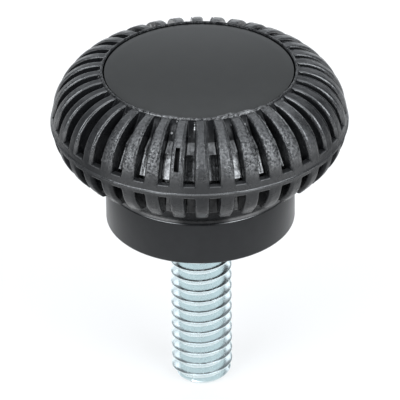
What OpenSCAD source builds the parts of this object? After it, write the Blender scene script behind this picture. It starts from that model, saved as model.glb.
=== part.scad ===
// Thumb knob with a slotted, ribbed grip and a 1/4-20 x 3/4 in steel stud.
// Millimetres, +Z up along the axis. The origin is the centre of the seat
// face, where the boss ends and the stud leaves it. -Y is the front: the
// middle of one rib faces it.

/* [Grip] */
// Diameter over the ribs where they are widest
grip_d = 30.1; // [29:0.1:33]
// Height of the rim round the cap above the seat face
rim_top_z = 17.3; // [16.5:0.1:19]
// Height of the parting line of the moulding
parting_z = 11.45; // [11:0.05:12]
// Diameter over the lower ends of the ribs
foot_d = 26.4; // [25.6:0.1:27.5]
// Height of the lower ends of the ribs
foot_z = 7.7; // [7:0.1:8.4]

/* [Ribs and slots] */
// Number of ribs round the grip
rib_count = 36; // [30:1:40]
// Part of each rib pitch that is slot
slot_share = 0.42; // [0.36:0.02:0.5]
// Depth of the slots below the widest place of the ribs
slot_depth = 2.6; // [2.2:0.1:2.8]
// Height of the shelf that closes the slots below the rim
shelf_z = 14.55; // [14:0.05:15.3]
// Small step inwards of the slot wall below the hoop
wall_step = 0.2; // [0.1:0.05:0.4]
// Width of the bevels along both edges of each rib
rib_bevel = 0.35; // [0.1:0.05:0.4]

/* [Window] */
// Width of the narrow pocket in the face of one rib
window_w = 0.45; // [0.3:0.05:0.6]
// Depth of the pocket
window_depth = 0.8; // [0.2:0.1:1]
// Height of the pocket's lower end
window_low_z = 14.1; // [13.5:0.1:14.5]
// Height of the pocket's upper end
window_top_z = 15.9; // [15:0.1:16.2]

/* [Hoop] */
// Thickness of the hoop that ties the ribs together
hoop_t = 0.75; // [0.5:0.05:1]
// Height of the hoop above the parting line
hoop_above = 0.85; // [0.5:0.05:1.2]
// Height of the hoop below the parting line
hoop_below = 0.5; // [0.3:0.05:0.8]
// How far the parting bead stands out
bead_h = 0.15; // [0.05:0.05:0.25]

/* [Boss] */
// Diameter of the boss
boss_d = 19.4; // [17:0.1:21]
// Height of the boss up to its shoulder
boss_h = 4.6; // [3.5:0.1:5.5]
// Width of the ledge on top of the boss
ledge_w = 0.15; // [0.05:0.05:0.3]
// Rounding of the lower edge of the boss
boss_edge = 0.3; // [0.1:0.05:0.6]

/* [Cap] */
// Diameter of the smooth cap
cap_d = 19.35; // [18:0.05:20]
// Thickness of the cap's disc
cap_t = 1.6; // [1.2:0.1:2]
// Depth of the cap's face below the rim
cap_recess = 0.3; // [0.1:0.05:0.6]
// Gap between the cap's edge and the rim
cap_gap = 0.1; // [0.05:0.05:0.25]
// Width of the rim round the cap
rim_w = 0.3; // [0.25:0.05:0.8]
// Diameter of the plug below the cap
plug_d = 13.6; // [13.4:0.1:15]
// Gap between the plug and its bore
plug_gap = 0.05; // [0.02:0.01:0.1]

/* [Stud] */
// Major diameter of the thread
thread_d = 6.3; // [6:0.01:6.35]
// Diameter of the plain shank between the thread and the head
shank_d = 5.5; // [5:0.05:5.6]
// Length of thread that stands out of the boss
thread_out = 19.05; // [12:0.05:32]
// Pitch of the thread
thread_pitch = 1.27; // [1:0.01:1.5]
// Gap between the thread and the hole that it is pushed through
stud_gap = 0.05; // [0.02:0.01:0.1]

/* [Bolt head] */
// Width of the hexagon head across its flats
hex_af = 11.1; // [10:0.05:11.3]
// Thickness of the hexagon head
hex_h = 4; // [3.5:0.1:4.5]
// Gap between the head and its pocket
hex_gap = 0.05; // [0.02:0.01:0.1]
// Thickness of moulding between the head and the seat face
web_t = 6.35; // [5:0.05:7]

/* [Hidden] */
$fn = 96;

// Cuts run past the surfaces that they open by this much.
past = 1;
bevel_over = 0.05;

// Grip: the ribs follow one arc above the parting line and one below it.
// Each arc is upright where the grip is widest, and it passes through the
// point where the ribs end. A short upright band lies between the arcs, and
// the rim round the cap stands a little above the upper ends of the ribs.
grip_r = grip_d / 2;
widest_band = 0.4;
widest_z = parting_z + widest_band;
rim_r = cap_d / 2 + cap_gap + rim_w;
rim_rise = 0.15;
rib_top_z = rim_top_z - rim_rise;
foot_r = foot_d / 2;
function arc_radius(reach, rise) = (reach * reach + rise * rise) / (2 * reach);
dome_arc = arc_radius(grip_r - rim_r, rib_top_z - widest_z);
belly_arc = arc_radius(grip_r - foot_r, parting_z - foot_z);

// Slots and the hoop between the upper and the lower ones.
pitch_angle = 360 / rib_count;
slot_angle = pitch_angle * slot_share;
wall_r = grip_r - slot_depth;
low_wall_r = wall_r - wall_step;
hoop_top_z = parting_z + hoop_above;
hoop_low_z = parting_z - hoop_below;
hoop_in_r = grip_r - hoop_t;

// Boss and the flare from its shoulder out to the wall behind the ribs.
boss_r = boss_d / 2;
flare_r = boss_r - ledge_w;

// Cap, its seat and the plug's bore.
cap_r = cap_d / 2;
cap_top_z = rim_top_z - cap_recess;
cap_seat_z = cap_top_z - cap_t;
plug_r = plug_d / 2;
cap_edge = 0.2;

// Bolt: its head stands on the web, and the plug ends just above it.
thread_r = thread_d / 2;
shank_r = shank_d / 2;
thread_depth = 0.6134 * thread_pitch;
hex_top_z = web_t + hex_h;
hex_corner = 1 / cos(30);
plug_clear = 0.1;

// Upper half of the grip, seen in section.
module dome_section() {
    intersection() {
        translate([grip_r - dome_arc, widest_z]) circle(r = dome_arc);
        translate([0, widest_z]) square([grip_r, rim_top_z - widest_z]);
    }
}

// Lower half of the grip, seen in section.
module belly_section() {
    intersection() {
        translate([grip_r - belly_arc, parting_z]) circle(r = belly_arc);
        translate([0, foot_z]) square([grip_r, parting_z - foot_z]);
    }
}

// Thin bead where the two halves of the mould meet.
module bead_section() {
    polygon([
        [grip_r - bead_h, parting_z - 2 * bead_h],
        [grip_r + bead_h, parting_z - bead_h / 2],
        [grip_r + bead_h, parting_z + bead_h / 2],
        [grip_r - bead_h, parting_z + 2 * bead_h]
    ]);
}

// Boss with a rounded lower edge.
module boss_section() {
    seat_r = boss_r - boss_edge;
    square([seat_r, boss_h]);
    translate([0, boss_edge]) square([boss_r, boss_h - boss_edge]);
    translate([seat_r, boss_edge]) circle(r = boss_edge);
}

// Everything of the moulding that is round, seen in section.
module body_section() {
    difference() {
        union() {
            boss_section();
            // The flare opens upwards from the ledge to the wall behind the ribs.
            polygon([[0, boss_h], [flare_r, boss_h], [low_wall_r, foot_z], [0, foot_z]]);
            belly_section();
            translate([0, parting_z]) square([grip_r, widest_z - parting_z]);
            bead_section();
            dome_section();
            translate([0, foot_z]) square([rim_r, rib_top_z - foot_z]);
            rim_section();
        }
        // Hole for the stud, pocket for the head, bore for the plug and seat for the cap.
        translate([0, -past]) square([thread_r + stud_gap, web_t + 2 * past]);
        translate([0, hex_top_z]) square([plug_r + plug_gap, rim_top_z]);
        translate([0, cap_seat_z]) square([cap_r + cap_gap, rim_top_z]);
    }
}

// Round-topped rim that stands above the ends of the ribs.
module rim_section() {
    half = rim_w / 2;
    translate([rim_r - rim_w, cap_seat_z]) square([rim_w, rim_top_z - half - cap_seat_z]);
    translate([rim_r - half, rim_top_z - half]) circle(r = half);
}

// Plan of all the slots between an inner and an outer radius. The wedges are
// the same for every pair of radii, so slots above each other share their sides.
module slots_plan(r_in, r_out) {
    reach = 2 * (grip_r + past);
    intersection() {
        difference() {
            circle(r = r_out);
            circle(r = r_in);
        }
        for (i = [0 : rib_count - 1])
            rotate(-90 + (i + 0.5) * pitch_angle)
                polygon([
                    [0, 0],
                    [reach, -reach * tan(slot_angle / 2)],
                    [reach, reach * tan(slot_angle / 2)]
                ]);
    }
}

// Bevels along both edges of all the ribs, from just above the hoop up to
// the rim. Each is what a slice beside the slot loses outside a cone round
// the centre of the ribs' arc, so it follows the arc.
module bevels() {
    bevel_in_r = rim_r + bevel_over;
    bevel_low_z = hoop_top_z + bevel_over;
    for (i = [0 : rib_count - 1], side = [-1, 1])
        rotate(-90 + (i + 0.5) * pitch_angle + side * slot_angle / 2)
            mirror([0, (1 - side) / 2, 0])
                difference() {
                    translate([bevel_in_r, -bevel_over, bevel_low_z])
                        cube([
                            grip_r + past / 2 - bevel_in_r,
                            rib_bevel + 2 * bevel_over,
                            rim_top_z - bevel_low_z
                        ]);
                    translate([grip_r - dome_arc, -2 * bevel_over, widest_z])
                        rotate([-90, 0, 0])
                            cylinder(
                                r1 = dome_arc - rib_bevel - 2 * bevel_over,
                                r2 = dome_arc + 2 * bevel_over,
                                h = rib_bevel + 4 * bevel_over
                            );
                }
}

// Narrow pocket in the face of the rib beside the front one.
module window() {
    rotate(-90 - pitch_angle)
        difference() {
            translate([rim_r, -window_w / 2, window_low_z])
                cube([grip_r + past - rim_r, window_w, window_top_z - window_low_z]);
            translate([grip_r - dome_arc, -window_w, widest_z])
                rotate([-90, 0, 0])
                    cylinder(r = dome_arc - window_depth, h = 2 * window_w);
        }
}

// Slots from one height to another.
module slots(z_low, z_high, r_in, r_out = grip_r + past) {
    translate([0, 0, z_low])
        linear_extrude(z_high - z_low) slots_plan(r_in, r_out);
}

// The whole black moulding: ribs, hoop, rim, hub and boss in one piece.
module knob_body() {
    color("#26282a")
        difference() {
            rotate_extrude() body_section();
            // Above the hoop: down to the wall, and over the shelf to the rim.
            slots(hoop_top_z, rim_top_z + past, wall_r);
            slots(shelf_z, rim_top_z + past, rim_r);
            // Behind the hoop.
            slots(hoop_low_z, hoop_top_z, low_wall_r, hoop_in_r);
            // Below the hoop, open at the ribs' lower ends.
            slots(foot_z - past, hoop_low_z, low_wall_r);
            bevels();
            window();
            // Pocket that keeps the bolt's head from turning.
            translate([0, 0, web_t])
                cylinder(r = (hex_af / 2 + hex_gap) * hex_corner, h = hex_h + past, $fn = 6);
        }
}

// Smooth cap, pressed in over the bolt's head.
module top_cap() {
    color("#3c3e40")
        rotate_extrude() {
            translate([0, cap_seat_z]) square([cap_r, cap_t - cap_edge]);
            translate([0, cap_seat_z]) square([cap_r - cap_edge, cap_t]);
            translate([cap_r - cap_edge, cap_top_z - cap_edge]) circle(r = cap_edge);
            translate([0, hex_top_z + plug_clear])
                square([plug_r, cap_seat_z + cap_t / 2 - hex_top_z - plug_clear]);
        }
}

// Hexagon bolt that is the stud. Its shank is rolled down to the thread's
// pitch diameter. The thread starts at the seat face and is drawn at its
// major diameter, and its crests end in a chamfer at the tip.
module threaded_stud() {
    color("#c3cad0") {
        rotate_extrude()
            polygon([
                [0, -thread_out],
                [thread_r - thread_depth, -thread_out],
                [thread_r, thread_depth - thread_out],
                [thread_r, 0],
                [shank_r, 0],
                [shank_r, web_t],
                [0, web_t]
            ]);
        translate([0, 0, web_t])
            cylinder(r = hex_af / 2 * hex_corner, h = hex_h, $fn = 6);
    }
}

knob_body();
top_cap();
threaded_stud();
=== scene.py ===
"""Looks of the thumb knob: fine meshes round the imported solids, their materials, light and camera.

Lengths in this file are in millimetres in the row's frame. MM turns them into Blender's metres.
"""

import math

import bmesh
import bpy
import numpy as np
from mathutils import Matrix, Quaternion, Vector


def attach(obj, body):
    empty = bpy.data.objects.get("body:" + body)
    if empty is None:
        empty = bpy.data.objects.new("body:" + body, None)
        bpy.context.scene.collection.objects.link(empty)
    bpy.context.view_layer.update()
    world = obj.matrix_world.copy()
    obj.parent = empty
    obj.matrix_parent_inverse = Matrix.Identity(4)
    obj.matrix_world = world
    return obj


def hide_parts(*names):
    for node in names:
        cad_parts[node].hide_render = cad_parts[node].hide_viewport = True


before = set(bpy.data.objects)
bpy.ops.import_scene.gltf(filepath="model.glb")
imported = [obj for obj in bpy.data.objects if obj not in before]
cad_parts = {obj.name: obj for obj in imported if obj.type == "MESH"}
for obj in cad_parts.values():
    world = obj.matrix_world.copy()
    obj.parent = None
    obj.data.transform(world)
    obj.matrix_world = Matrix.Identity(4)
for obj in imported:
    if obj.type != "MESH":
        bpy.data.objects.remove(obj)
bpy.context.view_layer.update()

MM = 0.001

# Sizes that the solids have too.
GRIP_R = 15.05
RIM_TOP_Z = 17.3
PARTING_Z = 11.45
FOOT_R = 13.2
FOOT_Z = 7.7
RIB_COUNT = 36
SLOT_SHARE = 0.42
SHELF_Z = 14.55
WALL_R = 12.45
LOW_WALL_R = 12.25
HOOP_T = 0.75
HOOP_TOP_Z = 12.3
HOOP_LOW_Z = 10.95
BOSS_R = 9.7
BOSS_H = 4.6
BOSS_EDGE = 0.3
CAP_R = 9.675
CAP_T = 1.6
CAP_RECESS = 0.3
CAP_GAP = 0.1
RIM_W = 0.3
PLUG_R = 6.8
PLUG_GAP = 0.05
THREAD_R = 3.15
THREAD_OUT = 19.05
PITCH = 1.27
STUD_GAP = 0.05
SHANK_R = 2.75
HEX_AF = 11.1
HEX_H = 4.0
HEX_GAP = 0.05
WEB_T = 6.35

# Derived sizes.
WIDEST_Z = PARTING_Z + 0.4
RIM_R = CAP_R + CAP_GAP + RIM_W
RIB_TOP_Z = RIM_TOP_Z - 0.15
HOOP_IN_R = GRIP_R - HOOP_T
CAP_TOP_Z = RIM_TOP_Z - CAP_RECESS
CAP_SEAT_Z = CAP_TOP_Z - CAP_T
HEX_TOP_Z = WEB_T + HEX_H
THREAD_DEPTH = 0.6134 * PITCH
PITCH_ANGLE = 2 * math.pi / RIB_COUNT
RIB_HALF = PITCH_ANGLE * (1 - SLOT_SHARE) / 2
FRONT = -math.pi / 2

# Looks of the moulding, as places in its list of materials. The slot, rim, pocket and flare looks are
# shaded copies of the one black plastic and the edge look a lit copy: painted shade and painted
# highlights.
GRIP, SLOT, BOSS, RIM, POCKET, HOOP, FLARE, EDGE = range(8)


def arc_radius(reach, rise):
    """Radius of an arc that starts upright and passes through a point that far in and up."""
    return (reach * reach + rise * rise) / (2 * reach)


DOME_ARC = arc_radius(GRIP_R - RIM_R, RIB_TOP_Z - WIDEST_Z)
BELLY_ARC = arc_radius(GRIP_R - FOOT_R, PARTING_Z - FOOT_Z)


def grip_radius(z):
    """Radius over the ribs at a height."""
    if z > WIDEST_Z:
        return GRIP_R - DOME_ARC + math.sqrt(max(0, DOME_ARC**2 - (z - WIDEST_Z) ** 2))
    if z < PARTING_Z:
        return GRIP_R - BELLY_ARC + math.sqrt(max(0, BELLY_ARC**2 - (PARTING_Z - z) ** 2))
    return GRIP_R


def smoothstep(x):
    """Smooth rise from 0 to 1 as x goes from 0 to 1."""
    x = min(1.0, max(0.0, x))
    return x * x * (3 - 2 * x)


def arc(centre_r, centre_z, radius, start, end, steps):
    """Points of a section along an arc, from one angle to another in degrees."""
    angles = np.radians(np.linspace(start, end, steps + 1))
    return [(centre_r + radius * math.cos(a), centre_z + radius * math.sin(a)) for a in angles]


def mitred_offset(points, distances):
    """A section line moved to its left-hand side by a distance at each point."""
    p = np.array(points, float)
    step = np.diff(p, axis=0)
    step /= np.linalg.norm(step, axis=1)[:, None]
    left = np.stack([-step[:, 1], step[:, 0]], axis=1)
    before = np.vstack([left[:1], left])
    after = np.vstack([left, left[-1:]])
    share = 1 + np.sum(before * after, axis=1)
    normal = (before + after) / share[:, None]
    return p + normal * np.array(distances)[:, None]


# ---------------------------------------------------------------- mesh helpers


class MeshParts:
    """Vertices and faces gathered from several grids, welded into one mesh at the end."""

    def __init__(self):
        self.points = []
        self.faces = []
        self.looks = []
        self.count = 0

    def add(self, points, faces, look=0):
        """Points with faces between them, which are given as places in the list of points."""
        points = np.array(points, float).reshape(-1, 3)
        self.points.append(points)
        self.faces += [tuple(i + self.count for i in face) for face in faces]
        self.looks += [look] * len(faces)
        self.count += len(points)

    def grid(self, points, look=0, skip=lambda i, j: False):
        """A sheet of quads through a grid of points, rows by columns."""
        rows, columns = points.shape[:2]
        faces = [
            (i * columns + j, i * columns + j + 1, (i + 1) * columns + j + 1, (i + 1) * columns + j)
            for i in range(rows - 1)
            for j in range(columns - 1)
            if not skip(i, j)
        ]
        self.add(points, faces, look)

    def build(self, name, materials, weld=0.002, sharp_deg=50):
        """The mesh object, with points closer than the weld joined and steep edges kept sharp."""
        mesh = bpy.data.meshes.new(name)
        mesh.from_pydata((np.vstack(self.points) * MM).tolist(), [], self.faces)
        for material in materials:
            mesh.materials.append(material)
        mesh.polygons.foreach_set("material_index", self.looks)
        work = bmesh.new()
        work.from_mesh(mesh)
        bmesh.ops.remove_doubles(work, verts=work.verts, dist=weld * MM)
        bmesh.ops.dissolve_degenerate(work, edges=work.edges, dist=weld * MM / 4)
        loose = [vertex for vertex in work.verts if not vertex.link_faces]
        bmesh.ops.delete(work, geom=loose, context="VERTS")
        bmesh.ops.recalc_face_normals(work, faces=work.faces)
        work.to_mesh(mesh)
        work.free()
        mesh.shade_smooth()
        mesh.set_sharp_from_angle(angle=math.radians(sharp_deg))
        piece = bpy.data.objects.new(name, mesh)
        bpy.context.scene.collection.objects.link(piece)
        weighted = piece.modifiers.new("flat faces stay flat", "WEIGHTED_NORMAL")
        weighted.keep_sharp = True
        weighted.mode = "FACE_AREA"
        return piece


def on_axis(radius, z, angle):
    """Points at a radius, height and angle round the axis. The arguments are arrays or numbers."""
    radius, z, angle = np.broadcast_arrays(radius, z, angle)
    return np.stack([radius * np.cos(angle), radius * np.sin(angle), z], axis=-1)


# ---------------------------------------------------------------- stations across a rib and a slot

# Those of a rib are given where the grip is widest, as distances in from the flank, with depths
# below the rib's face. Both shrink with the radius towards the rim.
EDGE_R = 0.38
ROUND_AT = [0.0, 0.02, 0.06, 0.12, 0.19, 0.28, 0.38]
# The counter-clockwise edge carries a thin lip with a groove beside it.
LIP_AT = [0.0, 0.02, 0.05, 0.11, 0.16, 0.21, 0.26, 0.32, 0.4]
LIP_DEPTHS = [0.16, 0.07, 0.02, 0.01, 0.07, 0.15, 0.15, 0.06, 0.0]

# The narrow pocket in the face of one rib.
WINDOW_RIB = RIB_COUNT - 1
WINDOW_LEFT = math.radians(-1.1)
WINDOW_RIGHT = math.radians(0.9)
WINDOW_TOP_Z = 15.8
WINDOW_LOW_Z = 13.8
WINDOW_DEPTH = 0.8

RIB_MIDDLE = [WINDOW_LEFT, (WINDOW_LEFT + WINDOW_RIGHT) / 2, WINDOW_RIGHT]
RIB_ANGLES = (
    [-RIB_HALF + d / GRIP_R for d in ROUND_AT]
    + RIB_MIDDLE
    + [RIB_HALF - d / GRIP_R for d in reversed(LIP_AT)]
)
LIP_START = len(ROUND_AT) + len(RIB_MIDDLE)

# A small fillet runs along both flanks in the slots: distance from the flank, and height.
FILLET_R = 0.08
FILLET = [
    (FILLET_R * (1 - math.sin(a)), FILLET_R * (1 - math.cos(a)))
    for a in np.radians([90, 45, 0])
]
SLOT_MIDDLE = [0.35, 0.65]
SLOT_DEPTHS = [h for _, h in FILLET] + [0.0] * len(SLOT_MIDDLE) + [h for _, h in reversed(FILLET)]
# Further in than this radius, the fillets' stations keep their angles.
STATION_R = 9.5


def round_depth(distance):
    """Depth of the rounded edge at a distance in from the flank."""
    left_over = max(0.0, EDGE_R - distance)
    return EDGE_R - math.sqrt(EDGE_R**2 - left_over**2)


def rib_depths(lip):
    """Depth at each station across the rib, where the lip shows that strongly."""
    left = [round_depth(d) for d in ROUND_AT]
    right = [
        round_depth(d) * (1 - lip) + lipped * lip
        for d, lipped in zip(reversed(LIP_AT), reversed(LIP_DEPTHS))
    ]
    return left + [0.0] * len(RIB_MIDDLE) + right


def slot_angles(radius):
    """Angles from the rib's middle of each station across the slot after it."""
    r = max(radius, STATION_R)
    start, end = RIB_HALF, PITCH_ANGLE - RIB_HALF
    first = [start + d / r for d, _ in FILLET]
    middle = [start + u * (end - start) for u in SLOT_MIDDLE]
    last = [end - d / r for d, _ in reversed(FILLET)]
    return first + middle + last


def sector_angles(radius):
    """Angles of each station across a rib and the slot after it."""
    return RIB_ANGLES + slot_angles(radius)[1:]


# ---------------------------------------------------------------- sections of the moulding

# The shelf falls outwards, and the wall under it comes forward down to a ledge behind the hoop.
SHELF_IN_R = 11.3
SHELF_IN_Z = 15.22
SHELF_FALL = (SHELF_IN_Z - SHELF_Z) / (WALL_R - SHELF_IN_R)
WALL_DRAFT = 1.3
WALL_LEDGE_Z = 12.25
UNDER_RIM_Z = 16.2
LOW_WALL_MIDDLE_Z = 9

HOOP_EDGE = 0.08
HOOP_START = (grip_radius(HOOP_TOP_Z - HOOP_EDGE), HOOP_TOP_Z - HOOP_EDGE)
HOOP_END = (grip_radius(HOOP_LOW_Z + HOOP_EDGE), HOOP_LOW_Z + HOOP_EDGE)

# The flare under the ribs ends in a small shoulder that leans in, on top of the boss.
SHOULDER = [
    (10.15, 5.5),
    (9.78, 5.16),
    (9.62, 5.08),
    (9.55, 5.04),
    (9.52, 4.98),
    (9.62, BOSS_H + 0.02),
]
COLLAR_EDGE = 0.06
BOSS_MIDDLE_Z = 2.5
# A row of points this close to the end of a flat keeps its shading apart from what comes next.
NEAR = 0.06
FLARE_SLOPE = 1.05


def upper_face():
    """Section of a rib's face from the rim down to the hoop."""
    steep = math.degrees(math.asin((HOOP_START[1] - WIDEST_Z) / DOME_ARC))
    flat = math.degrees(math.atan2(RIB_TOP_Z - WIDEST_Z, RIM_R - GRIP_R + DOME_ARC))
    face = arc(GRIP_R - DOME_ARC, WIDEST_Z, DOME_ARC, flat, steep, 26)
    # Two points move to the ends of the pocket.
    for height in (WINDOW_TOP_Z, WINDOW_LOW_Z):
        nearest = min(range(len(face)), key=lambda i: abs(face[i][1] - height))
        face[nearest] = (grip_radius(height), height)
    return face


def hoop_face():
    """Section of the hoop's outer face from its upper edge to its lower one, finer at the bead."""
    fine = 0.15
    coarse = 0.2
    heights = np.concatenate([
        np.linspace(HOOP_START[1], PARTING_Z + coarse, 4),
        np.linspace(PARTING_Z + fine, PARTING_Z - fine, 7),
        np.linspace(PARTING_Z - coarse, HOOP_END[1], 3),
    ])
    return [(grip_radius(z), z) for z in heights]


def lower_face():
    """Section of a rib's face from the hoop down to its foot and in to the wall."""
    edge = 0.15
    heights = np.linspace(HOOP_END[1], FOOT_Z + edge, 13)
    face = [(grip_radius(z), z) for z in heights]
    corner = arc(face[-1][0] - edge, FOOT_Z + edge, edge, 0, -90, 3)[1:]
    return face + corner + [(LOW_WALL_R, FOOT_Z)]


def slot_floor():
    """Section of what a slot is cut down to, from the rim to the ribs' feet."""
    edge = 0.06
    across = 0.8
    under_rim = [(RIM_R, RIB_TOP_Z), (RIM_R + 0.02, RIB_TOP_Z - 0.1), (RIM_R + 0.55, UNDER_RIM_Z)]
    shelf = [(SHELF_IN_R, SHELF_IN_Z), (SHELF_IN_R + across, SHELF_IN_Z - across * SHELF_FALL)]
    shelf_edge = arc(WALL_R - edge, SHELF_Z - edge, edge, 80, 0, 3)
    middle = (WALL_R + WALL_DRAFT / 2, (SHELF_Z + WALL_LEDGE_Z) / 2)
    wall = [middle, (WALL_R + WALL_DRAFT, WALL_LEDGE_Z + 0.04)]
    ledge = [(WALL_R + WALL_DRAFT - edge, WALL_LEDGE_Z), (LOW_WALL_R + 0.25, WALL_LEDGE_Z)]
    behind_hoop = [(LOW_WALL_R + 0.85, HOOP_LOW_Z + 0.1)]
    heights = (HOOP_LOW_Z, LOW_WALL_MIDDLE_Z, FOOT_Z + 0.1, FOOT_Z)
    low_wall = [(LOW_WALL_R, z) for z in heights]
    return under_rim + shelf + shelf_edge + wall + ledge + behind_hoop + low_wall


def hoop_back():
    """Section of the hoop between the ribs: over its top, down its back and under it."""
    top_r = HOOP_START[0]
    low_r = HOOP_END[0]
    e = HOOP_EDGE
    return (
        [HOOP_START]
        + arc(top_r - e, HOOP_TOP_Z - e, e, 0, 90, 3)[1:]
        + arc(HOOP_IN_R + e, HOOP_TOP_Z - e, e, 90, 180, 2)
        + arc(HOOP_IN_R + e, HOOP_LOW_Z + e, e, 180, 270, 2)
        + arc(low_r - e, HOOP_LOW_Z + e, e, 270, 360, 3)[:-1]
        + [HOOP_END]
    )


def turned_rest():
    """Section of everything on the moulding that is fully round, from the ribs' feet to the rim.

    A radius given as None stands for the hexagon pocket.
    """
    bore_r = THREAD_R + STUD_GAP
    collar_r = BOSS_R - COLLAR_EDGE
    foot_r = BOSS_R - BOSS_EDGE
    return (
        [(LOW_WALL_R, FOOT_Z), (LOW_WALL_R - NEAR, FOOT_Z - FLARE_SLOPE * NEAR)]
        + SHOULDER
        + arc(collar_r, BOSS_H - COLLAR_EDGE, COLLAR_EDGE, 90, 0, 3)
        + [(BOSS_R, BOSS_MIDDLE_Z)]
        + arc(foot_r, BOSS_EDGE, BOSS_EDGE, 0, -90, 5)
        + [(foot_r - NEAR, 0)]
        + [(bore_r, 0), (bore_r, WEB_T), (None, WEB_T), (None, HEX_TOP_Z)]
        + [(PLUG_R + PLUG_GAP, HEX_TOP_Z), (PLUG_R + PLUG_GAP, CAP_SEAT_Z)]
        + [(RIM_R - RIM_W, CAP_SEAT_Z)]
    )


def rim_section():
    """Section of the rim round the cap, from its inner foot over its top to the ribs."""
    half = RIM_W / 2
    return (
        [(RIM_R - RIM_W, CAP_SEAT_Z)]
        + arc(RIM_R - half, RIM_TOP_Z - half, half, 180, 0, 8)
        + [(RIM_R, RIB_TOP_Z)]
    )


# ---------------------------------------------------------------- uneven details of the moulding

# Moulding flash on top of the rim: angle from the front, half width and height of each ridge.
FLASH = [
    (-34, 3, 0.05),
    (-24, 2.5, 0.04),
    (-16, 4, 0.08),
    (-6, 2.5, 0.04),
    (10, 3, 0.1),
    (17, 4.5, 0.24),
    (27, 4, 0.2),
    (38, 3, 0.06),
    (60, 3, 0.05),
]
# How far the flash leans inwards for its height.
FLASH_LEAN = 0.5

# The bead on the parting line, and where it dips or rises: angle from the front, half width, height.
BEAD_H = 0.15
BEAD_HALF = 0.07
BEAD_WAVES = [(-16, 4, -0.12), (12, 2, 0.1)]

# Over this length, what is done to a face fades out towards the ends of its section.
RIB_FADE = 0.3
SLOT_FADE = 0.1

# Ribs further to the side than this share of the radius have one edge that stands out: it keeps its
# gloss as a painted highlight beside the faces' painted shade.
EDGE_FROM = 0.6


def flash_height(angle):
    """Height of the flash at an angle round the axis."""
    from_front = (math.degrees(angle - FRONT) + 180) % 360 - 180
    ridges = sum(h * math.exp(-(((from_front - at) / width) ** 2)) for at, width, h in FLASH)
    rough = 0.012 * math.sin(53 * angle) + 0.01 * math.sin(97 * angle + 1.3)
    return ridges + rough


def rim_rows(turn):
    """Rows of points over the rim, raised and pushed inwards where there is flash."""
    rows = []
    for r, z in rim_section():
        angles = turn + np.array(sector_angles(r))
        height = np.array([flash_height(a) for a in angles])
        share = smoothstep((z - RIB_TOP_Z + 0.1) / 0.12)
        if r >= RIM_R and z <= RIB_TOP_Z:
            # The outer foot of the rim is shared with the ribs.
            share = 0.0
        rows.append(on_axis(r - FLASH_LEAN * share * height, z + share * height, angles))
    return np.stack(rows)


def bead(ring):
    """Raises the parting bead on the hoop's face and lets it waver a little."""
    radius = np.hypot(ring[..., 0], ring[..., 1])
    angle = np.arctan2(ring[..., 1], ring[..., 0])
    from_front = np.degrees(angle - FRONT)
    waver = 0.03 * np.sin(7 * angle + 0.8) + 0.02 * np.sin(17 * angle + 2.1)
    for at, width, height in BEAD_WAVES:
        waver = waver + height * np.exp(-(((from_front - at) / width) ** 2))
    across = (ring[..., 2] - PARTING_Z) / BEAD_HALF
    rise = BEAD_H * np.exp(-(across**2))
    near = np.exp(-((across / 3) ** 2))
    return on_axis(radius + rise, ring[..., 2] + waver * near, angle)


def lip_strength(z):
    """How strongly the lip along a rib's edge shows at a height."""
    return 0.3 + 0.7 * smoothstep((z - 13.2) / 1.6)


def fade_at_ends(points, length):
    """1 along a section and 0 at both its ends, over a length."""
    p = np.array(points)
    along = np.concatenate([[0], np.cumsum(np.linalg.norm(np.diff(p, axis=0), axis=1))])
    return [smoothstep(s / length) * smoothstep((along[-1] - s) / length) for s in along]


# ---------------------------------------------------------------- knob body


def hex_radius(angle):
    """Radius of the hexagon pocket's wall at an angle."""
    sector = math.pi / 3
    turn = (angle % sector) - sector / 2
    return (HEX_AF / 2 + HEX_GAP) / math.cos(turn)


def turned(points, angle):
    """Points turned about the axis."""
    c, s = math.cos(angle), math.sin(angle)
    return points @ np.array([[c, s, 0], [-s, c, 0], [0, 0, 1]])


def rib_sheet(section, turn, fade, lips, sunk=0.0):
    """Grid of points over a rib's face: rows along the section, columns across the rib.

    A section that runs downwards has its outside on its left.
    """
    depths = np.array([rib_depths(lip) for lip in lips])
    columns = []
    for j, angle in enumerate(RIB_ANGLES):
        offsets = [-(depths[i, j] * r / GRIP_R + sunk) * fade[i] for i, (r, _) in enumerate(section)]
        line = mitred_offset(section, offsets)
        columns.append(on_axis(line[:, 0], line[:, 1], turn + angle))
    return np.stack(columns, axis=1)


def sink_window(parts, sheet, deep, rows, columns):
    """Walls and floor of the narrow pocket that is left out of a rib's face."""
    (i0, i1), (j0, j1) = rows, columns
    face = sheet[i0 : i1 + 1, j0 : j1 + 1]
    floor = deep[i0 : i1 + 1, j0 : j1 + 1]
    parts.grid(floor, POCKET)
    for edge in (np.s_[0, :], np.s_[-1, :], np.s_[:, 0], np.s_[:, -1]):
        parts.grid(np.stack([face[edge], floor[edge]]), POCKET)


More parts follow.
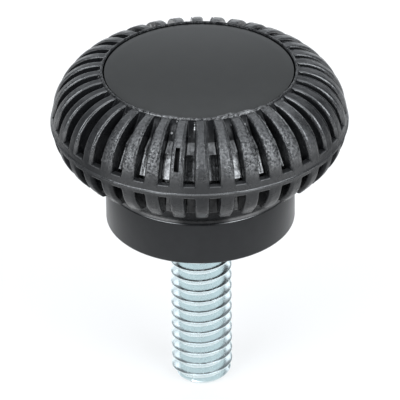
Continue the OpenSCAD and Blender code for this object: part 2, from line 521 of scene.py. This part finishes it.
def add_upper_face(parts, k, turn):
    """Upper face of a rib, with the narrow pocket in one of them. Gives the grid of its points."""
    section = upper_face()
    lips = [lip_strength(z) for _, z in section]
    fade = fade_at_ends(section, RIB_FADE)
    sheet = rib_sheet(section, turn, fade, lips)
    # Of the ribs at the sides, the edge that looks towards the front gets the edge look, whose gloss
    # is not dulled at the sides: a painted highlight.
    to_side = math.cos(turn)
    first = len(ROUND_AT) - 2
    parts.grid(sheet[:, : first + 1], EDGE if to_side > EDGE_FROM else GRIP)
    parts.grid(sheet[:, LIP_START:], EDGE if to_side < -EDGE_FROM else GRIP)
    middle = sheet[:, first : LIP_START + 1]
    if k == WINDOW_RIB:
        heights = [z for _, z in section]
        rows = heights.index(WINDOW_TOP_Z), heights.index(WINDOW_LOW_Z)
        columns = len(ROUND_AT), LIP_START - 1
        in_window = lambda i, j: rows[0] <= i < rows[1] and columns[0] <= j + first < columns[1]
        parts.grid(middle, GRIP, in_window)
        deep = rib_sheet(section, turn, fade, lips, WINDOW_DEPTH)
        sink_window(parts, sheet, deep, rows, columns)
    else:
        parts.grid(middle, GRIP)
    return sheet


def add_slot_floor(parts, turn):
    """What the slot after a rib is cut down to. Gives the grid of its points."""
    section = slot_floor()
    fade = fade_at_ends(section, SLOT_FADE)
    columns = []
    for j, depth in enumerate(SLOT_DEPTHS):
        line = mitred_offset(section, [depth * f for f in fade])
        angles = [turn + slot_angles(r)[j] for r, _ in section]
        columns.append(on_axis(line[:, 0], line[:, 1], np.array(angles)))
    sheet = np.stack(columns, axis=1)
    parts.grid(sheet, SLOT)
    return sheet


def add_turned_rest(parts, turn):
    """The flare, the boss and the inside of the moulding."""
    rows = []
    for r, z in turned_rest():
        angles = turn + np.array(sector_angles(0 if r is None else r))
        radius = np.array([hex_radius(a) for a in angles]) if r is None else r
        rows.append(on_axis(radius, z, angles))
    flare_rows = 2 + len(SHOULDER)
    parts.grid(np.stack(rows[:flare_rows]), FLARE)
    parts.grid(np.stack(rows[flare_rows - 1 :]), BOSS)


def add_flanks(parts, top, low, floor, back):
    """Both flanks of a rib, each as one flat face round its outline."""
    for rib_column, slot_column, shift in ((-1, 0, 0), (0, -1, -PITCH_ANGLE)):
        outline = np.vstack([
            top[:, rib_column],
            turned(back[1:-1, slot_column], shift),
            low[:, rib_column],
            turned(floor[::-1, slot_column], shift)[1:-1],
        ])
        parts.add(outline, [tuple(range(len(outline)))], SLOT)


def add_sector(parts, k):
    """One rib and the slot after it, with the stretch of everything round that goes with them."""
    turn = FRONT + k * PITCH_ANGLE
    top = add_upper_face(parts, k, turn)
    section = lower_face()
    low = rib_sheet(section, turn, fade_at_ends(section, RIB_FADE), [0.0] * len(section))
    parts.grid(low, GRIP)
    ring = np.stack([on_axis(r, z, turn + np.array(sector_angles(r))) for r, z in hoop_face()])
    parts.grid(bead(ring), GRIP)
    floor = add_slot_floor(parts, turn)
    back = np.stack([on_axis(r, z, turn + np.array(slot_angles(r))) for r, z in hoop_back()])
    parts.grid(back, HOOP)
    add_turned_rest(parts, turn)
    parts.grid(rim_rows(turn), RIM)
    add_flanks(parts, top, low, floor, back)


def make_knob_body(looks):
    """The moulding as one closed mesh."""
    parts = MeshParts()
    for k in range(RIB_COUNT):
        add_sector(parts, k)
    piece = parts.build("knob_moulding", looks)
    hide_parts("knob_body")
    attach(piece, "root")
    return piece


# ---------------------------------------------------------------- cap and stud


def lathe(parts, section, steps, look=0):
    """A full turn of a section, with its ends on the axis or joined by the next call."""
    angles = np.linspace(0, 2 * math.pi, steps + 1)
    parts.grid(np.stack([on_axis(r, z, angles) for r, z in section]), look)


# The cap's face is domed, and lies this much higher than the solid's.
CAP_DOME = 0.12
CAP_RISE = 0.15
CAP_EDGE = 0.12
PLUG_CLEAR = 0.1


def make_cap(look):
    """The smooth cap with its plug."""
    flat_r = CAP_R - CAP_EDGE
    face_z = CAP_TOP_Z + CAP_RISE
    plug_z = HEX_TOP_Z + PLUG_CLEAR
    dome = [(flat_r * t, face_z + CAP_DOME * (1 - t * t)) for t in np.linspace(0, 1, 13)[:-1]]
    edge = arc(flat_r, face_z - CAP_EDGE, CAP_EDGE, 90, 0, 5)
    plug = [(CAP_R, CAP_SEAT_Z), (PLUG_R, CAP_SEAT_Z), (PLUG_R, plug_z), (0, plug_z)]
    parts = MeshParts()
    lathe(parts, dome + edge + plug, 256)
    piece = parts.build("smooth_cap", [look])
    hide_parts("top_cap")
    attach(piece, "root")
    return piece


CREST_FLAT = PITCH / 8
ROOT_FLAT = PITCH / 4
FLANK_RUN = (PITCH - CREST_FLAT - ROOT_FLAT) / 2
# Points down a flank, and one on the crest beside it that bends the crest's shading a little.
FLANK_AT = (0.06, 0.35, 0.65, 0.94)
CREST_POINT = (CREST_FLAT / 2 * 0.7, 0.004)
THREAD_STEPS = 96
THREAD_END_Z = 0.8
# The thread starts below the tip and goes on above its end, and is cut off at both.
TURNS_BELOW = 1.6
TURNS_SPARE = 4


def thread_profile():
    """One turn of the thread's profile: height along the axis, and depth below the crest."""
    flank = [(CREST_FLAT / 2 + FLANK_RUN * t, THREAD_DEPTH * t) for t in FLANK_AT]
    up = [(0.0, 0.0), CREST_POINT] + flank + [(PITCH / 2, THREAD_DEPTH)]
    down = [(PITCH - z, depth) for z, depth in reversed(up[1:-1])]
    return up + down


def make_stud(look):
    """The bolt with its true right-hand thread."""
    tip_r = THREAD_R - THREAD_DEPTH
    turns = int((THREAD_OUT + THREAD_END_Z) / PITCH) + TURNS_SPARE
    line = [(n * PITCH + z, depth) for n in range(turns) for z, depth in thread_profile()]
    rows = []
    angles = np.linspace(0, 2 * math.pi, THREAD_STEPS + 1)
    for z, depth in line:
        height = -THREAD_OUT - TURNS_BELOW * PITCH + z + PITCH * angles / (2 * math.pi)
        height = np.clip(height, -THREAD_OUT, THREAD_END_Z)
        chamfer = tip_r + (height + THREAD_OUT)
        runout = tip_r + (THREAD_END_Z - height)
        radius = np.minimum(THREAD_R - depth, np.minimum(chamfer, runout))
        rows.append(on_axis(radius, height, angles))
    parts = MeshParts()
    parts.grid(np.stack(rows))
    lathe(parts, [(0, -THREAD_OUT), (tip_r, -THREAD_OUT)], THREAD_STEPS)
    lathe(parts, [(tip_r, THREAD_END_Z), (SHANK_R, THREAD_END_Z), (SHANK_R, WEB_T)], THREAD_STEPS)

    # The hexagon head: its sides and top, and its underside round the shank.
    corner = HEX_AF / 2 / math.cos(math.pi / 6)
    hexagon = np.array([math.radians(60 * i) for i in range(6)])
    low = on_axis(corner, WEB_T, hexagon)
    high = on_axis(corner, HEX_TOP_Z, hexagon)
    neck = on_axis(SHANK_R, WEB_T, angles[:-1])
    sides = [(i, (i + 1) % 6, (i + 1) % 6 + 6, i + 6) for i in range(6)]
    parts.add(np.vstack([low, high]), sides + [tuple(range(6, 12))])
    per_side = THREAD_STEPS // 6
    under = []
    for i in range(6):
        run = [6 + (i * per_side + j) % THREAD_STEPS for j in range(per_side + 1)]
        under.append((i, (i + 1) % 6, *reversed(run)))
    parts.add(np.vstack([low, neck]), under)
    piece = parts.build("steel_stud", [look], weld=0.001, sharp_deg=35)
    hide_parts("threaded_stud")
    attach(piece, "root")
    return piece


# ---------------------------------------------------------------- node trees


class Graph:
    """A node tree, with short ways to add the nodes that the looks and the light are made of.

    Its place is a point on the object or, in the world, a direction.
    """

    def __init__(self, tree, space=None):
        self.nodes = tree.nodes
        self.links = tree.links
        self.place = self.make("TexCoord", space) if space else None

    def feed(self, socket, value):
        """Links a socket to another node's output, or sets it to a number, a colour or a vector."""
        if isinstance(value, bpy.types.NodeSocket):
            self.links.new(value, socket)
        else:
            socket.default_value = value

    def make(self, kind, output, inputs=None, **settings):
        """Adds a node with its settings and its inputs, and gives one of its outputs."""
        node = self.nodes.new("ShaderNode" + kind)
        for name, value in settings.items():
            setattr(node, name, value)
        for key, value in (inputs or {}).items():
            self.feed(node.inputs[key], value)
        return node.outputs[output]

    def noise(self, scale, detail=3.0, rough=0.55):
        """Noise over the place. The scale is in cells per metre."""
        inputs = {"Vector": self.place, "Scale": scale, "Detail": detail, "Roughness": rough}
        return self.make("TexNoise", "Fac", inputs)

    def spread(self, source, low, high, to_low, to_high, way="LINEAR"):
        """A value taken from one range to another."""
        ends = {"From Min": low, "From Max": high, "To Min": to_low, "To Max": to_high}
        return self.make("MapRange", "Result", {"Value": source, **ends}, interpolation_type=way)

    def step(self, source, low, high, to_low=0.0, to_high=1.0):
        """Smooth rise or fall of a level as a value goes from one number to another."""
        return self.spread(source, low, high, to_low, to_high, "SMOOTHSTEP")

    def math(self, operation, first, *others):
        """Values added, multiplied or compared, one after another."""
        for other in others:
            first = self.make("Math", "Value", {0: first, 1: other}, operation=operation)
        return first

    def multiply(self, *values):
        return self.math("MULTIPLY", *values)

    def part(self, vector, axis):
        """X, Y or Z of a vector."""
        return self.make("SeparateXYZ", axis, {"Vector": vector})

    def flat_share(self, axis):
        """Share of X or Y in the level direction of the place, from the axis of the knob."""
        flat = self.make("VectorMath", "Vector", {0: self.place, 1: (1, 1, 0)}, operation="MULTIPLY")
        way = self.make("VectorMath", "Vector", {0: flat}, operation="NORMALIZE")
        return self.part(way, axis)

    def behind(self):
        """From -1 straight in front of the knob to 1 straight behind it."""
        return self.flat_share("Y")

    def right(self):
        """From -1 straight left of the knob to 1 straight right of it."""
        return self.flat_share("X")

    def height(self):
        """Height of the place, in metres on the object and from -1 to 1 in the world."""
        return self.part(self.place, "Z")

    def mix(self, share, first, second):
        """A colour between two others."""
        return self.make("Mix", "Result", {"Factor": share, "A": first, "B": second}, data_type="RGBA")

    def bump(self, height, distance, strength=1.0, normal=None):
        """Normals bent by a height between 0 and 1 that stands for a distance."""
        inputs = {"Height": height, "Distance": distance * MM, "Strength": strength}
        if normal is not None:
            inputs["Normal"] = normal
        return self.make("Bump", "Normal", inputs)


def new_material(name, space="Object"):
    """A material with its node tree and its shader."""
    material = bpy.data.materials.new(name)
    material.use_nodes = True
    graph = Graph(material.node_tree, space)
    return material, graph, graph.nodes["Principled BSDF"]


# ---------------------------------------------------------------- grain, and gloss that paints shade and highlights by place


def grip_grain_and_painted_glints(graph):
    """Share of the grain on the grip: full on the front of the upper ribs, less elsewhere. The gloss
    sparkles in the same share, which paints glints on the front of the upper ribs.
    """
    height = graph.height()
    behind = graph.behind()
    above_hoop = graph.step(height, 12.7 * MM, 13.5 * MM, 0.18, 1.0)
    below_rim = graph.step(height, 15.8 * MM, 16.8 * MM, 1.0, 0.5)
    beside_middle = graph.step(behind, -0.995, -0.97, 0.5, 1.0)
    at_front = graph.step(behind, -0.8, -0.5, 1.0, 0.3)
    return graph.multiply(above_hoop, below_rim, beside_middle, at_front)


def near_hoop_painted_shade(graph):
    """Share of the gloss along the ribs, lower near the hoop as painted shade."""
    return graph.step(graph.height(), 12.4 * MM, 13.4 * MM, 0.45, 1.0)


def grip_painted_sheen_and_shade(graph):
    """Share of the gloss on the grip, with more of it on the bead: a painted highlight.

    It is lower on the hoop, under it, straight in front and at the sides: painted shade.
    """
    height = graph.height()
    behind = graph.behind()
    under_hoop = graph.step(height, 10.9 * MM, 11.2 * MM, 0.6, 1.0)
    in_front = graph.step(behind, -0.998, -0.985, 0.7, 1.0)
    beside = graph.step(behind, -0.8, -0.5, 0.0, -1.0)
    at_left = graph.step(graph.right(), -0.75, -0.5, -1.0, 0.0)
    most = graph.step(height, 14 * MM, 16.5 * MM, 0.88, 0.8)
    loss = graph.multiply(graph.math("MINIMUM", beside, at_left), most)
    kept = graph.math("ADD", loss, 1.0)
    share = graph.multiply(near_hoop_painted_shade(graph), under_hoop, in_front, kept)
    over_bead = graph.step(height, (PARTING_Z - 0.16) * MM, (PARTING_Z - 0.08) * MM)
    below_bead = graph.step(height, (PARTING_Z + 0.08) * MM, (PARTING_Z + 0.16) * MM, 1.0, 0.0)
    return graph.math("ADD", share, graph.multiply(over_bead, below_bead, 0.6))


def slot_painted_shade_and_glints(graph):
    """Share of the gloss in the slots.

    It is low above the shelf, under the hoop and straight in front, as painted shade, but for a few
    specks above the shelf that are painted glints.
    """
    height = graph.height()
    shelf_low, shelf_high = (SHELF_IN_Z - 0.05) * MM, (SHELF_IN_Z + 0.1) * MM
    wall_low, wall_high = (SHELF_Z - 0.1) * MM, SHELF_Z * MM
    over_shelf = graph.step(height, shelf_low, shelf_high)
    plain = graph.multiply(
        graph.step(height, shelf_low, shelf_high, 1.0, 0.12),
        graph.step(height, wall_low, wall_high, 1.0, 0.85),
    )
    painted_glints = graph.multiply(graph.step(graph.noise(1400.0, 1.0), 0.66, 0.7, 0.0, 1.5), over_shelf)
    under_hoop = graph.step(height, (HOOP_LOW_Z - 0.1) * MM, (HOOP_LOW_Z + 0.1) * MM, 0.5, 1.0)
    in_front = graph.step(graph.behind(), -0.998, -0.975, 0.3, 1.0)
    over_wall = graph.step(height, wall_low, wall_high)
    in_front = graph.math("MAXIMUM", in_front, over_wall)
    return graph.multiply(graph.math("ADD", plain, painted_glints), under_hoop, in_front)


def flare_painted_crescents(graph):
    """Share of the gloss under the ribs, low straight in front and beyond both crescents as painted
    shade, so that the two crescents stand out as painted highlights.
    """
    behind = graph.behind()
    in_front = graph.step(behind, -0.985, -0.94, 0.15, 1.0)
    beyond = graph.step(behind, -0.85, -0.75, 1.0, 0.5)
    return graph.multiply(in_front, beyond)


def rim_painted_shade(graph):
    """Share of the gloss on the rim, low away from the front as painted shade."""
    return graph.step(graph.behind(), -0.85, -0.6, 1.0, 0.25)


def cap_painted_sheen(graph):
    """Share of the gloss on the cap, a painted sheen: least along a line near its middle, most at the
    back.
    """
    off_line = graph.math("ADD", graph.part(graph.place, "Y"), 1.0 * MM)
    square = graph.multiply(off_line, off_line)
    return graph.math("ADD", graph.multiply(square, 0.0076 / MM**2), 0.92)


# ---------------------------------------------------------------- materials


def plastic(name, colour, rough, grain, gloss, ior=1.5, ripple=0.0, grain_at=None, gloss_at=None):
    """Black moulded plastic: grain as bump, and roughness that varies with a coarser noise.

    rough is the range of the roughness, and grain the grain's cells per metre and its height.
    gloss is the specular level, or its range over the grain, so that bright places sparkle.
    ripple is the height of a coarser bump. grain_at and gloss_at give the share of the grain and
    of the gloss by place, where they paint glints, highlights and shade, and the second one needs a
    gloss that is a range.
    """
    material, graph, shader = new_material(name)
    sockets = shader.inputs
    cells, grain_height = grain
    patches = graph.noise(900.0, 2.0)
    darker = (*[c * 0.8 for c in colour], 1)
    lighter = (*[c * 1.25 for c in colour], 1)
    graph.feed(sockets["Base Color"], graph.mix(patches, darker, lighter))
    graph.feed(sockets["Roughness"], graph.spread(patches, 0.35, 0.65, *rough))
    graph.feed(sockets["IOR"], ior)
    grain_and_glint_share = grain_at(graph) if grain_at else 1.0
    if isinstance(gloss, tuple):
        plain = (gloss[0] + gloss[1]) / 2
        glints = graph.noise(cells * 0.8, 3.0, 0.65)
        level = graph.spread(glints, 0.36, 0.64, gloss[0] - plain, gloss[1] - plain)
        if grain_at:
            level = graph.multiply(level, grain_and_glint_share)
        level = graph.math("ADD", level, plain)
        if gloss_at:
            level = graph.multiply(level, gloss_at(graph))
        graph.feed(sockets["Specular IOR Level"], level)
    else:
        graph.feed(sockets["Specular IOR Level"], gloss)
    wave = graph.bump(graph.noise(cells / 5, 2.0, 0.5), ripple) if ripple else None
    normal = graph.bump(graph.noise(cells, 4.0, 0.6), grain_height, grain_and_glint_share, wave)
    graph.feed(sockets["Normal"], normal)
    return material


def steel(name):
    """Zinc-plated steel with a cool tint and fine streaks."""
    material, graph, shader = new_material(name)
    patches = graph.noise(1500.0)
    shade = graph.mix(patches, (0.64, 0.74, 0.76, 1), (0.8, 0.88, 0.89, 1))
    graph.feed(shader.inputs["Base Color"], shade)
    graph.feed(shader.inputs["Metallic"], 1.0)
    graph.feed(shader.inputs["Roughness"], graph.spread(patches, 0.3, 0.7, 0.18, 0.3))
    graph.feed(shader.inputs["Normal"], graph.bump(graph.noise(9000.0), 0.003))
    return material


# ---------------------------------------------------------------- stage, light and camera


# Radiance of the surroundings: a white tent, dark where the camera stands, with a soft box
# overhead and one at each side. Behind the knob, the tent has two brighter bands and one darker
# band between them, and a bright corner to either side.
LIGHT_TENT = 0.22
LIGHT_CAMERA = 0.1
LIGHT_BACK = 0.55
LIGHT_BACK_LOW = 0.45
LIGHT_BACK_HIGH = 0.25
LIGHT_CORNER = 1.5
LIGHT_HORIZON = 0.8
LIGHT_TOP = 1.5
LIGHT_SIDE = 5.0
TOP_ELEVATION = math.radians(68)
TINT = (0.955, 1.0, 1.05, 1)
WHITE = (1, 1, 1, 1)
# Where the back of the tent begins, as the share of a direction that points straight back.
BACK = (0.8, 0.93)

FLOOR_HALF = 0.9
FLOOR_DROP = 0.0001
FLOOR_ALBEDO = 0.4
FLOOR_LIFT = 0.6


def make_floor():
    """Pale floor at the stud's tip. It looks white where it is lit, and it keeps the shadow."""
    mesh = bpy.data.meshes.new("floor")
    z = -THREAD_OUT * MM - FLOOR_DROP
    corners = [(x * FLOOR_HALF, y * FLOOR_HALF, z) for x, y in ((-1, -1), (1, -1), (1, 1), (-1, 1))]
    mesh.from_pydata(corners, [], [(0, 1, 2, 3)])
    floor = bpy.data.objects.new("floor", mesh)
    bpy.context.scene.collection.objects.link(floor)
    material, graph, shader = new_material("pale_floor", space=None)
    shader.inputs["Base Color"].default_value = (FLOOR_ALBEDO, FLOOR_ALBEDO, FLOOR_ALBEDO, 1)
    shader.inputs["Roughness"].default_value = 0.9
    shader.inputs["Emission Color"].default_value = WHITE
    by_camera = graph.make("LightPath", "Is Camera Ray")
    by_gloss = graph.make("LightPath", "Is Glossy Ray")
    seen = graph.math("MAXIMUM", by_camera, by_gloss)
    graph.feed(shader.inputs["Emission Strength"], graph.multiply(seen, FLOOR_LIFT))
    mesh.materials.append(material)


def tent_light(graph, up, behind):
    """Radiance of the tent by direction."""
    level = graph.step(behind, *BACK, LIGHT_TENT, LIGHT_BACK)
    corner = graph.multiply(
        graph.step(behind, 0.62, 0.76),
        graph.step(up, 0.3, 0.42),
        graph.step(behind, *BACK, LIGHT_CORNER, 0.0),
    )
    level = graph.math("ADD", level, corner)
    level = graph.multiply(level, graph.step(behind, -0.97, -0.9))
    level = graph.math("MAXIMUM", level, LIGHT_CAMERA)
    at_back = graph.step(behind, *BACK)
    low_band = graph.multiply(at_back, graph.step(up, 0.455, 0.51, LIGHT_BACK_LOW, 0.0))
    at_horizon = graph.step(up, 0.06, 0.2, LIGHT_HORIZON, 0.0)
    horizon = graph.multiply(graph.step(behind, -0.6, -0.3), at_horizon)
    high_band = graph.multiply(at_back, graph.step(up, 0.53, 0.57, 0.0, LIGHT_BACK_HIGH))
    return graph.math("ADD", level, low_band, horizon, high_band)


def side_light(graph, up, behind):
    """Radiance that the soft boxes at both sides add to the tent's."""
    return graph.multiply(
        graph.step(behind, -0.97, -0.9),
        graph.step(behind, -0.55, -0.15, 1.0, 0.0),
        graph.step(up, 0.62, 0.8, LIGHT_SIDE - LIGHT_TENT, 0.0),
        graph.step(up, 0.27, 0.33),
    )


def top_light(graph):
    """Radiance of the soft box overhead, which stands a little to the front."""
    towards = (0, -math.cos(TOP_ELEVATION), math.sin(TOP_ELEVATION))
    inputs = {0: graph.place, 1: towards}
    share = graph.make("VectorMath", "Value", inputs, operation="DOT_PRODUCT")
    return graph.step(share, 0.79, 0.93, 0.0, LIGHT_TOP)


def make_world():
    """Soft studio light by direction. The camera sees white."""
    world = bpy.data.worlds.new("studio")
    world.use_nodes = True
    graph = Graph(world.node_tree, "Generated")
    up = graph.height()
    behind = graph.behind()
    level = graph.math("ADD", tent_light(graph, up, behind), side_light(graph, up, behind))
    level = graph.math("MAXIMUM", level, top_light(graph))
    by_camera = graph.make("LightPath", "Is Camera Ray")
    background = graph.nodes["Background"].inputs
    graph.feed(background["Strength"], graph.math("MAXIMUM", level, by_camera))
    graph.feed(background["Color"], graph.mix(by_camera, TINT, WHITE))
    bpy.context.scene.world = world


# The camera was fitted to the photograph. Its target is given across the picture and in height.
CAMERA_DISTANCE = 585.0
CAMERA_ELEVATION = math.radians(31.09)
CAMERA_AZIMUTH = math.radians(-0.7)
CAMERA_ROLL = math.radians(-0.62)
PIXELS_PER_MM = 9.734
IMAGE_WIDTH = 400
TARGET_SIDE = -0.04
TARGET_Z = 1.81


def make_camera():
    """The camera at the photograph's viewing angle."""
    data = bpy.data.cameras.new("camera")
    data.sensor_width = 36
    data.lens = PIXELS_PER_MM * CAMERA_DISTANCE * data.sensor_width / IMAGE_WIDTH
    data.clip_start = 0.01
    data.clip_end = 10
    camera = bpy.data.objects.new("camera", data)
    a, e = CAMERA_AZIMUTH, CAMERA_ELEVATION
    back = Vector((math.sin(a) * math.cos(e), -math.cos(a) * math.cos(e), math.sin(e)))
    side = Vector((math.cos(a), math.sin(a), 0))
    target = side * TARGET_SIDE * MM + Vector((0, 0, TARGET_Z * MM))
    camera.location = target + back * CAMERA_DISTANCE * MM
    camera.rotation_mode = "QUATERNION"
    upright = (-back).to_track_quat("-Z", "Y")
    camera.rotation_quaternion = upright @ Quaternion((0, 0, 1), CAMERA_ROLL)
    bpy.context.scene.collection.objects.link(camera)
    bpy.context.scene.camera = camera


# ---------------------------------------------------------------- the scene


make_camera()
make_world()
make_floor()
bpy.context.scene.view_settings.view_transform = "Standard"

BLACK = (0.02, 0.0205, 0.0215)
# Darker than the moulding's own black: painted shade in the recessed slots.
SLOT_PAINTED_SHADE_BLACK = (0.012, 0.0124, 0.0133)
# Darker than the moulding's own black: painted shade on the rim, in the pocket and on the flare under
# the ribs.
PAINTED_SHADE_BLACK = (0.008, 0.0083, 0.009)
CAP_GREY = (0.0145, 0.015, 0.014)

grip_look = plastic(
    "grip_plastic", BLACK, rough=(0.24, 0.34), grain=(5200.0, 0.09), gloss=(0.1, 1.3), ior=1.8,
    ripple=0.08, grain_at=grip_grain_and_painted_glints, gloss_at=grip_painted_sheen_and_shade,
)
slot_look = plastic(
    "slot_plastic", SLOT_PAINTED_SHADE_BLACK, rough=(0.14, 0.2), grain=(2500.0, 0.03), gloss=(0.4, 1.2), ior=1.8,
    gloss_at=slot_painted_shade_and_glints,
)
boss_look = plastic("boss_plastic", BLACK, rough=(0.29, 0.32), grain=(5000.0, 0.004), gloss=0.27)
rim_look = plastic(
    "rim_plastic", PAINTED_SHADE_BLACK, rough=(0.15, 0.3), grain=(4000.0, 0.09), gloss=(0.1, 1.4), ior=1.8,
    ripple=0.1, gloss_at=rim_painted_shade,
)
pocket_look = plastic("pocket_plastic", PAINTED_SHADE_BLACK, rough=(0.4, 0.5), grain=(2500.0, 0.01), gloss=0.15)
hoop_look = plastic(
    "hoop_plastic", BLACK, rough=(0.25, 0.35), grain=(4000.0, 0.01), gloss=0.6, ior=1.8
)
flare_look = plastic(
    "flare_plastic", PAINTED_SHADE_BLACK, rough=(0.16, 0.22), grain=(2000.0, 0.004), gloss=(0.8, 1.1), ior=1.8,
    ripple=0.02, gloss_at=flare_painted_crescents,
)
# The edge look keeps its gloss at the sides: a painted highlight on the ribs' front-facing edges.
edge_look = plastic(
    "edge_plastic", BLACK, rough=(0.2, 0.28), grain=(5200.0, 0.06), gloss=(0.2, 1.1), ior=1.8,
    ripple=0.08, grain_at=grip_grain_and_painted_glints, gloss_at=near_hoop_painted_shade,
)
cap_look = plastic(
    "cap_plastic", CAP_GREY, rough=(0.24, 0.27), grain=(6000.0, 0.002), gloss=(0.49, 0.51), ior=1.4,
    gloss_at=cap_painted_sheen,
)
steel_look = steel("zinc_plated_steel")

# In the order of GRIP, SLOT, BOSS, RIM, POCKET, HOOP, FLARE, EDGE.
moulding_looks = [
    grip_look, slot_look, boss_look, rim_look, pocket_look, hoop_look, flare_look, edge_look
]
make_knob_body(moulding_looks)
make_cap(cap_look)
make_stud(steel_look)
